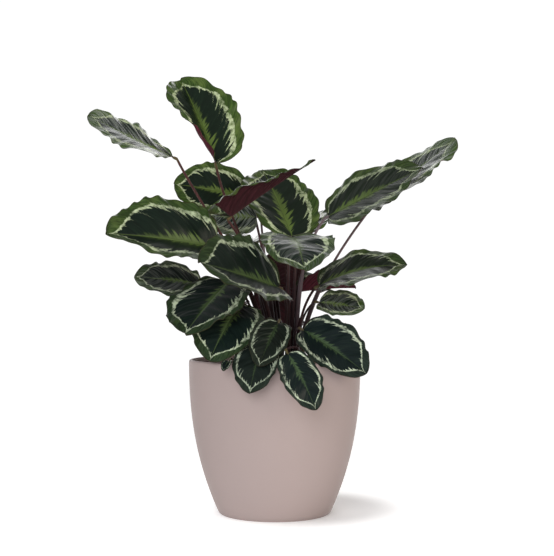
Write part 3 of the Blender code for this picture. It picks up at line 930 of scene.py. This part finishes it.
class Blade:
    """The surface of one leaf's blade, by the share s of its length and the share t of its half width."""

    def __init__(self, leaf):
        self.base = Vector(leaf.base) * MM
        self.half = leaf.width / 2 * MM
        self.base_roundness = BASE_ROUNDNESS + leaf.taper
        self.tip_roundness = TIP_ROUNDNESS - TIP_TAPER * min(leaf.taper, 0)
        self.fold = math.radians(leaf.fold)
        self.arch = math.radians(leaf.arch)
        self.twist = math.radians(leaf.twist)
        chord = Vector(leaf.tip) * MM - self.base
        self.chord = chord.length
        self.along = chord.normalized()
        self.turn(math.radians(leaf.front_tilt))
        draw = random.Random(leaf.name)
        self.wave_start = draw.uniform(0, math.tau)
        self.seed = draw.random()
        self.name = leaf.name
        self.curl = CURLS.get(leaf.name)
        self.flag = TIP_FLAGS.get(leaf.name, 0) * MM
        # Higher leaves count as younger, which lifts their greens partly as painted light
        by_height = min(max((leaf.tip[2] - 250) / 200 + draw.uniform(-0.15, 0.15), 0), 1)
        skin = SKINS.get(leaf.name, Skin())
        if skin.young < 0:
            skin = skin._replace(young=by_height)
        self.tones = {"seed": self.seed, **skin._asdict()}

    def turn(self, tilt):
        """Sets the face, turned by tilt from the sky towards the front, and the side."""
        up = (Vector((0, 0, 1)) - self.along * self.along.z).normalized()
        side = self.along.cross(up)
        to_front = side if side.y < 0 else -side
        self.face = up * math.cos(tilt) + to_front * math.sin(tilt)
        self.side = self.face.cross(self.along)

    def half_width(self, s):
        widest = self.base_roundness / (self.base_roundness + self.tip_roundness)
        full = widest**self.base_roundness * (1 - widest) ** self.tip_roundness
        flag = self.flag * math.exp(-(((s - TIP_FLAG_PLACE) / TIP_FLAG_LENGTH) ** 2))
        return self.half * s**self.base_roundness * (1 - s) ** self.tip_roundness / full + flag

    def midrib(self, s):
        """The point of the midrib at s, and the blade's own direction and normal there."""
        radius = self.chord / (2 * math.sin(self.arch / 2))
        bend = self.arch * (0.5 - s)
        along = self.chord / 2 - radius * math.sin(bend)
        rise = radius * (math.cos(bend) - math.cos(self.arch / 2))
        place = self.base + self.along * along + self.face * rise
        direction = self.along * math.cos(bend) + self.face * math.sin(bend)
        normal = self.face * math.cos(bend) - self.along * math.sin(bend)
        return place, direction, normal

    def beat(self, s, t, look, shift=0):
        """Runs between -1 and 1 with the ripples of an edge, which aren't all of one length."""
        start = self.wave_start * 3 + (2.6 if t > 0 else 0)
        vein = s - SIDE_VEIN_LEAN * abs(t)
        uneven = 1.3 * math.sin(math.tau * 1.9 * s + start)
        return math.sin(math.tau * self.chord / look.ripple_length * vein + start + uneven + shift)

    def relief(self, s, t, look):
        """Height of the ripples along the edge and of the soft waves that follow the side veins."""
        out = abs(t)
        swell = 0.65 + 0.35 * math.sin(math.tau * 1.7 * s + self.wave_start * 5)
        room = min(1, self.half_width(s) / (self.half * 0.5)) * min(1, self.half / (40 * MM))
        if SMOOTH_SIDES.get(self.name, 0) * t > 0:
            swell *= 0.25
        vein = s - SIDE_VEIN_LEAN * out
        soft = noise.noise(Vector((vein * 13, self.seed * 20 + (7 if t > 0 else 0), out)))
        rippled = look.ripple * swell * out**4 * self.beat(s, t, look)
        return room * (rippled + look.drape * 4 * out * (1 - out) * soft)

    def across(self, s, t, look):
        """How far a point of the folded and curled blade lies from the midrib, sideways and upwards."""
        out = abs(t)
        slope = self.fold * (1.3 - 0.6 * s) * (1 - BLADE_FLARE * out)
        half = self.half_width(s)
        scallop = look.scallop * out**6 * self.beat(s, t, look, 1.2) * min(1, half / (30 * MM))
        reach = half * out + scallop
        if self.curl is None or t * self.curl.side <= 0:
            return reach * math.cos(slope), reach * math.sin(slope)
        rolled = max(out - 1 + self.curl.share, 0) / self.curl.share
        length = (self.curl.end - self.curl.start) / 2
        nearness = max(1 - abs(s - self.curl.start - length) / length, 0)
        turn = math.radians(self.curl.turn) * rolled * min(1, 3 * nearness)
        strip = half * rolled * self.curl.share
        flat = reach - strip
        lift = flat * math.sin(slope) + strip * math.sin(slope + turn / 2)
        return flat * math.cos(slope) + strip * math.cos(slope + turn / 2), lift

    def point(self, s, t, look):
        """The point at s along the blade and at t across it, with its folds, waves and ripples."""
        place, direction, normal = self.midrib(s)
        breadth = abs(t) * self.half_width(s) / self.half
        place -= direction * BASE_LOBES * self.chord * breadth**1.2 * (1 - s) ** 4
        turn = self.twist * (s - 0.5)
        side = self.side * math.cos(turn) + normal * math.sin(turn)
        normal = normal * math.cos(turn) - self.side * math.sin(turn)
        reach, lift = self.across(s, t, look)
        vein = s - VEIN_LEAN * abs(t)
        phase = self.wave_start + (1.9 if t > 0 else 0)
        wave = 2 * WAVE_SHARE * self.half * t * t * math.sin(math.tau * WAVES * vein + phase)
        return place + side * math.copysign(reach, t) + normal * (lift + wave + self.relief(s, t, look))


def blade_mesh(leaf, look):
    """A fine sheet over the leaf's blade, with its place on the blade as a UV map."""
    blade = Blade(leaf)
    bm = bmesh.new()
    layers = {name: bm.verts.layers.float.new(name) for name in blade.tones}
    rows = max(12, round(look.rows * min(1, 0.35 + blade.chord / (140 * MM))))
    bmesh.ops.create_grid(bm, x_segments=rows, y_segments=look.columns, size=1)
    discs = {}
    for vert in bm.verts:
        x, y = square_to_disc(vert.co.x, vert.co.y)
        edge = math.sqrt(max(1 - x * x, 0))
        t = y / edge if edge > 1e-6 else 0
        discs[vert] = ((x + 1) / 2, (y + 1) / 2)
        vert.co = blade.point((x + 1) / 2, t, look)
        for name, tone in blade.tones.items():
            vert[layers[name]] = tone
    uv = bm.loops.layers.uv.new("blade")
    for face in bm.faces:
        for loop in face.loops:
            loop[uv].uv = discs[loop.vert]
    upwards = sum((face.normal for face in bm.faces), Vector())
    if upwards.dot(blade.face) < 0:
        bmesh.ops.reverse_faces(bm, faces=bm.faces)
    return bm


def thicken(piece, thickness):
    """Gives a sheet its thickness, with the second material on its lower side."""
    solid = piece.modifiers.new("thickness", "SOLIDIFY")
    solid.thickness = thickness
    solid.offset = 0
    solid.material_offset = 1
    solid.material_offset_rim = 0
    apply_modifiers(piece, 60)


def stalk_path(leaf, points):
    """Points from the rootstock up to the blade, which the last stretch meets in the blade's direction."""
    blade = Blade(leaf)
    base, direction, _ = blade.midrib(0)
    foot = Vector((*leaf.foot, 0)) * MM + Vector((0, 0, SOIL_Z + ROOTSTOCK_RISE - STALK_SINK))
    reach = base - foot
    first = foot + Vector((reach.x * STALK_LEAN, reach.y * STALK_LEAN, reach.z * STALK_CLIMB))
    knee = base - direction * STALK_KNEE
    arrival = (direction + reach.normalized()).normalized()
    second = Vector(leaf.pull) * MM if leaf.pull else knee - arrival * STALK_REACH * reach.length
    path = []
    for i in range(points):
        u = i / (points - 1)
        v = 1 - u
        path.append(foot * v**3 + first * 3 * v * v * u + second * 3 * v * u * u + knee * u**3)
    path.append(base - direction * STALK_KNEE * 0.4)
    path.append(base + direction * STALK_END_LENGTH)
    return path


def stalk_radius(share, look):
    """Radius along a stalk: a sheath that narrows, the bare stalk, and the joint below the blade."""
    if share < SHEATH_END:
        return look.foot_radius + (look.sheath_radius - look.foot_radius) * share / SHEATH_END
    if share < NECK_START:
        step = (share - SHEATH_END) / (NECK_START - SHEATH_END)
        return look.sheath_radius + (look.neck_radius - look.sheath_radius) * step
    if share < JOINT_START:
        return look.neck_radius
    swell = math.sin(math.pi * (share - JOINT_START) / JOINT_LENGTH)
    return look.neck_radius + (look.joint_radius - look.neck_radius) * swell


def swing(first, second):
    """The rotation from one direction to another."""
    return first.rotation_difference(second).to_matrix().to_4x4()


def stalk_tube(path, radii, sides, tone):
    """Draws a ring of edges along a path, and closes its two ends."""
    bm = bmesh.new()
    along = bm.verts.layers.float.new("along")
    shade = bm.verts.layers.float.new("tone")
    directions = [(b - a).normalized() for a, b in zip(path, path[1:])]
    directions.append(directions[-1])
    start = bmesh.ops.create_circle(bm, cap_ends=True, segments=sides, radius=radii[0])["verts"]
    aim = Matrix.Translation(path[0]) @ swing(Vector((0, 0, 1)), directions[0])
    bmesh.ops.transform(bm, matrix=aim, verts=start)
    ring = list(bm.edges)
    for i in range(1, len(path)):
        verts, ring = extruded(bm, ring)
        turn = swing(directions[i - 1], directions[i])
        grow = Matrix.Scale(radii[i] / radii[i - 1], 4)
        move = Matrix.Translation(path[i]) @ turn @ grow @ Matrix.Translation(-path[i - 1])
        bmesh.ops.transform(bm, matrix=move, verts=verts)
        for vert in verts:
            vert[along] = i / (len(path) - 1)
    # The stalk's share of painted sheen
    for vert in bm.verts:
        vert[shade] = tone
    bmesh.ops.contextual_create(bm, geom=ring)
    bmesh.ops.recalc_face_normals(bm, faces=bm.faces)
    settle(bm)
    return as_mesh(bm)


def stalks_mesh(look):
    """All the stalks with their sheaths and joints."""
    bm = bmesh.new()
    draw = random.Random(7)
    for leaf in LEAVES:
        path = stalk_path(leaf, look.rings)
        slim = min(1, 0.55 + leaf.width / 180)
        last = len(path) - 1
        radii = [stalk_radius(i / last, look) * slim for i in range(last)] + [STALK_END_RADIUS]
        # Share of painted sheen: given for some stalks, at random for the rest
        tone = PAINTED_SHEEN_STALKS.get(leaf.name, draw.uniform(0, 1) ** 3)
        join(bm, stalk_tube(path, radii, look.sides, tone))
    return bm


def rootstock_mesh():
    """The lumpy base that the stalks grow from."""
    bm = bmesh.new()
    bmesh.ops.create_cone(
        bm,
        cap_ends=True,
        segments=ROOTSTOCK_STEPS,
        radius1=ROOTSTOCK_RADIUS,
        radius2=ROOTSTOCK_TOP_RADIUS,
        depth=ROOTSTOCK_DEPTH + ROOTSTOCK_RISE,
    )
    lid = max(bm.faces, key=lambda face: face.calc_center_median().z)
    for _ in range(LID_RINGS):
        bmesh.ops.inset_region(bm, faces=[lid], thickness=LID_RING)
    middle = SOIL_Z + (ROOTSTOCK_RISE - ROOTSTOCK_DEPTH) / 2
    bmesh.ops.translate(bm, verts=bm.verts, vec=(*ROOTSTOCK_PLACE, middle))
    for vert in bm.verts:
        if vert.co.z > SOIL_Z:
            reach = math.hypot(vert.co.x - ROOTSTOCK_PLACE[0], vert.co.y - ROOTSTOCK_PLACE[1])
            lumps = noise.fractal(vert.co * 90, 0.8, 2.2, 3)
            vert.co.z += LID_LUMPS * lumps - LID_FALL * (reach / ROOTSTOCK_TOP_RADIUS) ** 4
    return bm


# Operators


class CALATHEA_OT_cover_pot(bpy.types.Operator):
    """Turn the matt cover pot over its part"""

    bl_idname = "calathea.cover_pot"
    bl_label = "Cover Pot"

    def execute(self, context):
        look = context.scene.calathea.pot
        bm = turned(cover_pot_profile(look.rings), look.steps)
        add_piece("matt_cover_pot", bm, [matt_clay(look)], "pot", "cover_pot")
        return {"FINISHED"}


class CALATHEA_OT_grow_pot(bpy.types.Operator):
    """Turn the black grow pot and cut its drain holes"""

    bl_idname = "calathea.grow_pot"
    bl_label = "Grow Pot"

    def execute(self, context):
        look = context.scene.calathea.pot
        bm = turned(grow_pot_profile(), GROW_STEPS)
        cut_drains(add_piece("nursery_pot", bm, [moulded_black(look)], "grow_pot", "grow_pot"))
        return {"FINISHED"}


class CALATHEA_OT_soil(bpy.types.Operator):
    """Fill the grow pot with crumbly soil"""

    bl_idname = "calathea.soil"
    bl_label = "Soil"

    def execute(self, context):
        look = context.scene.calathea.soil
        bm, top, top_z = soil_mesh(look)
        scatter_crumbs(bm, look, top, top_z)
        add_piece("potting_soil", bm, [moist_earth(look)], "soil", "soil", sharp=60)
        return {"FINISHED"}


class CALATHEA_OT_stalks(bpy.types.Operator):
    """Grow the stalks with their sheaths from the rootstock"""

    bl_idname = "calathea.stalks"
    bl_label = "Stalks"

    def execute(self, context):
        look = context.scene.calathea.stalk
        add_piece("sheathed_stalks", stalks_mesh(look), [stalk_skin(look)], "stalk", "stalk_clump")
        add_piece("rootstock", rootstock_mesh(), [rootstock_skin(look)], "stalk")
        return {"FINISHED"}


class CALATHEA_OT_blades(bpy.types.Operator):
    """Lay a fine two-sided blade over every leaf of the part"""

    bl_idname = "calathea.blades"
    bl_label = "Leaf Blades"

    def execute(self, context):
        look = context.scene.calathea.blade
        finishes = [leaf_upper(look), leaf_lower(look)]
        for leaf in LEAVES:
            sheet = blade_mesh(leaf, look)
            piece = add_piece(f"blade_{leaf.name}", sheet, finishes, "leaf", f"leaf_{leaf.name}")
            thicken(piece, look.thickness)
        return {"FINISHED"}


def add_light(name, power, tint, size, place, mirrored):
    """A soft square light that faces the plant, and shows in the gloss only where it is mirrored."""
    light = bpy.data.lights.new(name, "AREA")
    light.energy = power
    light.color = tint
    light.size = size
    lamp = put(name, light)
    lamp.visible_glossy = mirrored
    lamp.location = place
    lamp.rotation_euler = (Vector(LIT_POINT) - Vector(place)).to_track_quat("-Z", "Y").to_euler()


def light_sky(look):
    """Light from all round, brightest from behind the plant, that the camera sees as pure white."""
    sky = Sky("white_room")
    inputs = {
        "Value": sky.split(sky.node("ShaderNodeTexCoord").outputs["Generated"])[1],
        "From Min": SKY_FRONT_END,
        "From Max": SKY_BACK_START,
        "To Min": look.front,
        "To Max": look.back,
    }
    soft = sky.glow(sky.node("ShaderNodeMapRange", inputs=inputs).outputs["Result"])
    seen = sky.node("ShaderNodeLightPath").outputs["Is Camera Ray"]
    both = sky.node("ShaderNodeMixShader", inputs={"Fac": seen, 1: soft, 2: sky.glow(SEEN_SKY)})
    sky.feed(sky.tree.nodes["World Output"].inputs["Surface"], both.outputs["Shader"])
    bpy.context.scene.world = sky.world


def white_floor(look):
    """White that gives off light of its own away from the pot, so that only the contact shadow stays."""
    finish = Finish("white_floor")
    places = {0: finish.place(), 1: SHADOW_PLACE}
    reach = finish.value("Value", "ShaderNodeVectorMath", {"operation": "DISTANCE"}, places)
    away = reach.fade(look.shadow, look.shadow * SHADOW_REACH)
    glow = away.blend([look.near_glow] * 3, [look.glow] * 3)
    finish.set(Base_Color=look.floor, Roughness=0.9, Specular_IOR_Level=0.0)
    return finish.set(Emission_Color=glow, Emission_Strength=1.0)


def lay_floor(look):
    """The white floor, which doesn't show in the gloss of the leaves."""
    bm = bmesh.new()
    bmesh.ops.create_grid(bm, x_segments=1, y_segments=1, size=look.floor_size)
    mesh = as_mesh(bm)
    mesh.materials.append(white_floor(look))
    floor = put("floor", mesh)
    floor.visible_glossy = False


def place_camera(look):
    lens = bpy.data.cameras.new("camera")
    lens.lens = look.lens
    camera = put("camera", lens)
    camera.location = look.eye
    camera.rotation_euler = (math.radians(90) + look.pitch, 0, 0)
    bpy.context.scene.camera = camera


class CALATHEA_OT_stage(bpy.types.Operator):
    """Lay the white floor, light it softly and place the camera"""

    bl_idname = "calathea.stage"
    bl_label = "Stage"

    def execute(self, context):
        look = context.scene.calathea.studio
        lay_floor(look)
        light_sky(look)
        add_light("key", look.key, look.coolness, KEY_SIZE, KEY_PLACE, False)
        add_light("fill", look.fill, look.warmth, FILL_SIZE, FILL_PLACE, True)
        place_camera(look)
        context.scene.view_settings.view_transform = "Standard"
        return {"FINISHED"}


class CALATHEA_PT_panel(bpy.types.Panel):
    """Lists the pieces in the 3D view's sidebar"""

    bl_idname = "CALATHEA_PT_panel"
    bl_label = "Potted Calathea"
    bl_space_type = "VIEW_3D"
    bl_region_type = "UI"
    bl_category = "Calathea"

    def draw(self, context):
        for operator in OPERATORS:
            self.layout.operator(operator.bl_idname)
        for name in ("blade", "stalk", "pot", "soil", "studio"):
            group = getattr(context.scene.calathea, name)
            box = self.layout.box()
            for setting in group.bl_rna.properties:
                if setting.identifier not in ("rna_type", "name"):
                    box.prop(group, setting.identifier)


OPERATORS = (
    CALATHEA_OT_stage,
    CALATHEA_OT_cover_pot,
    CALATHEA_OT_grow_pot,
    CALATHEA_OT_soil,
    CALATHEA_OT_stalks,
    CALATHEA_OT_blades,
)
GROUPS = (BladeSettings, StalkSettings, PotSettings, SoilSettings, StudioSettings, CalatheaSettings)


def register():
    for item in (*GROUPS, *OPERATORS, CALATHEA_PT_panel):
        bpy.utils.register_class(item)
    bpy.types.Scene.calathea = PointerProperty(type=CalatheaSettings)


def unregister():
    del bpy.types.Scene.calathea
    for item in reversed((*GROUPS, *OPERATORS, CALATHEA_PT_panel)):
        bpy.utils.unregister_class(item)


def main():
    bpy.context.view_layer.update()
    register()
    bpy.ops.calathea.stage()
    bpy.ops.calathea.cover_pot()
    bpy.ops.calathea.grow_pot()
    bpy.ops.calathea.soil()
    bpy.ops.calathea.stalks()
    bpy.ops.calathea.blades()


if __name__ == "__main__":
    main()
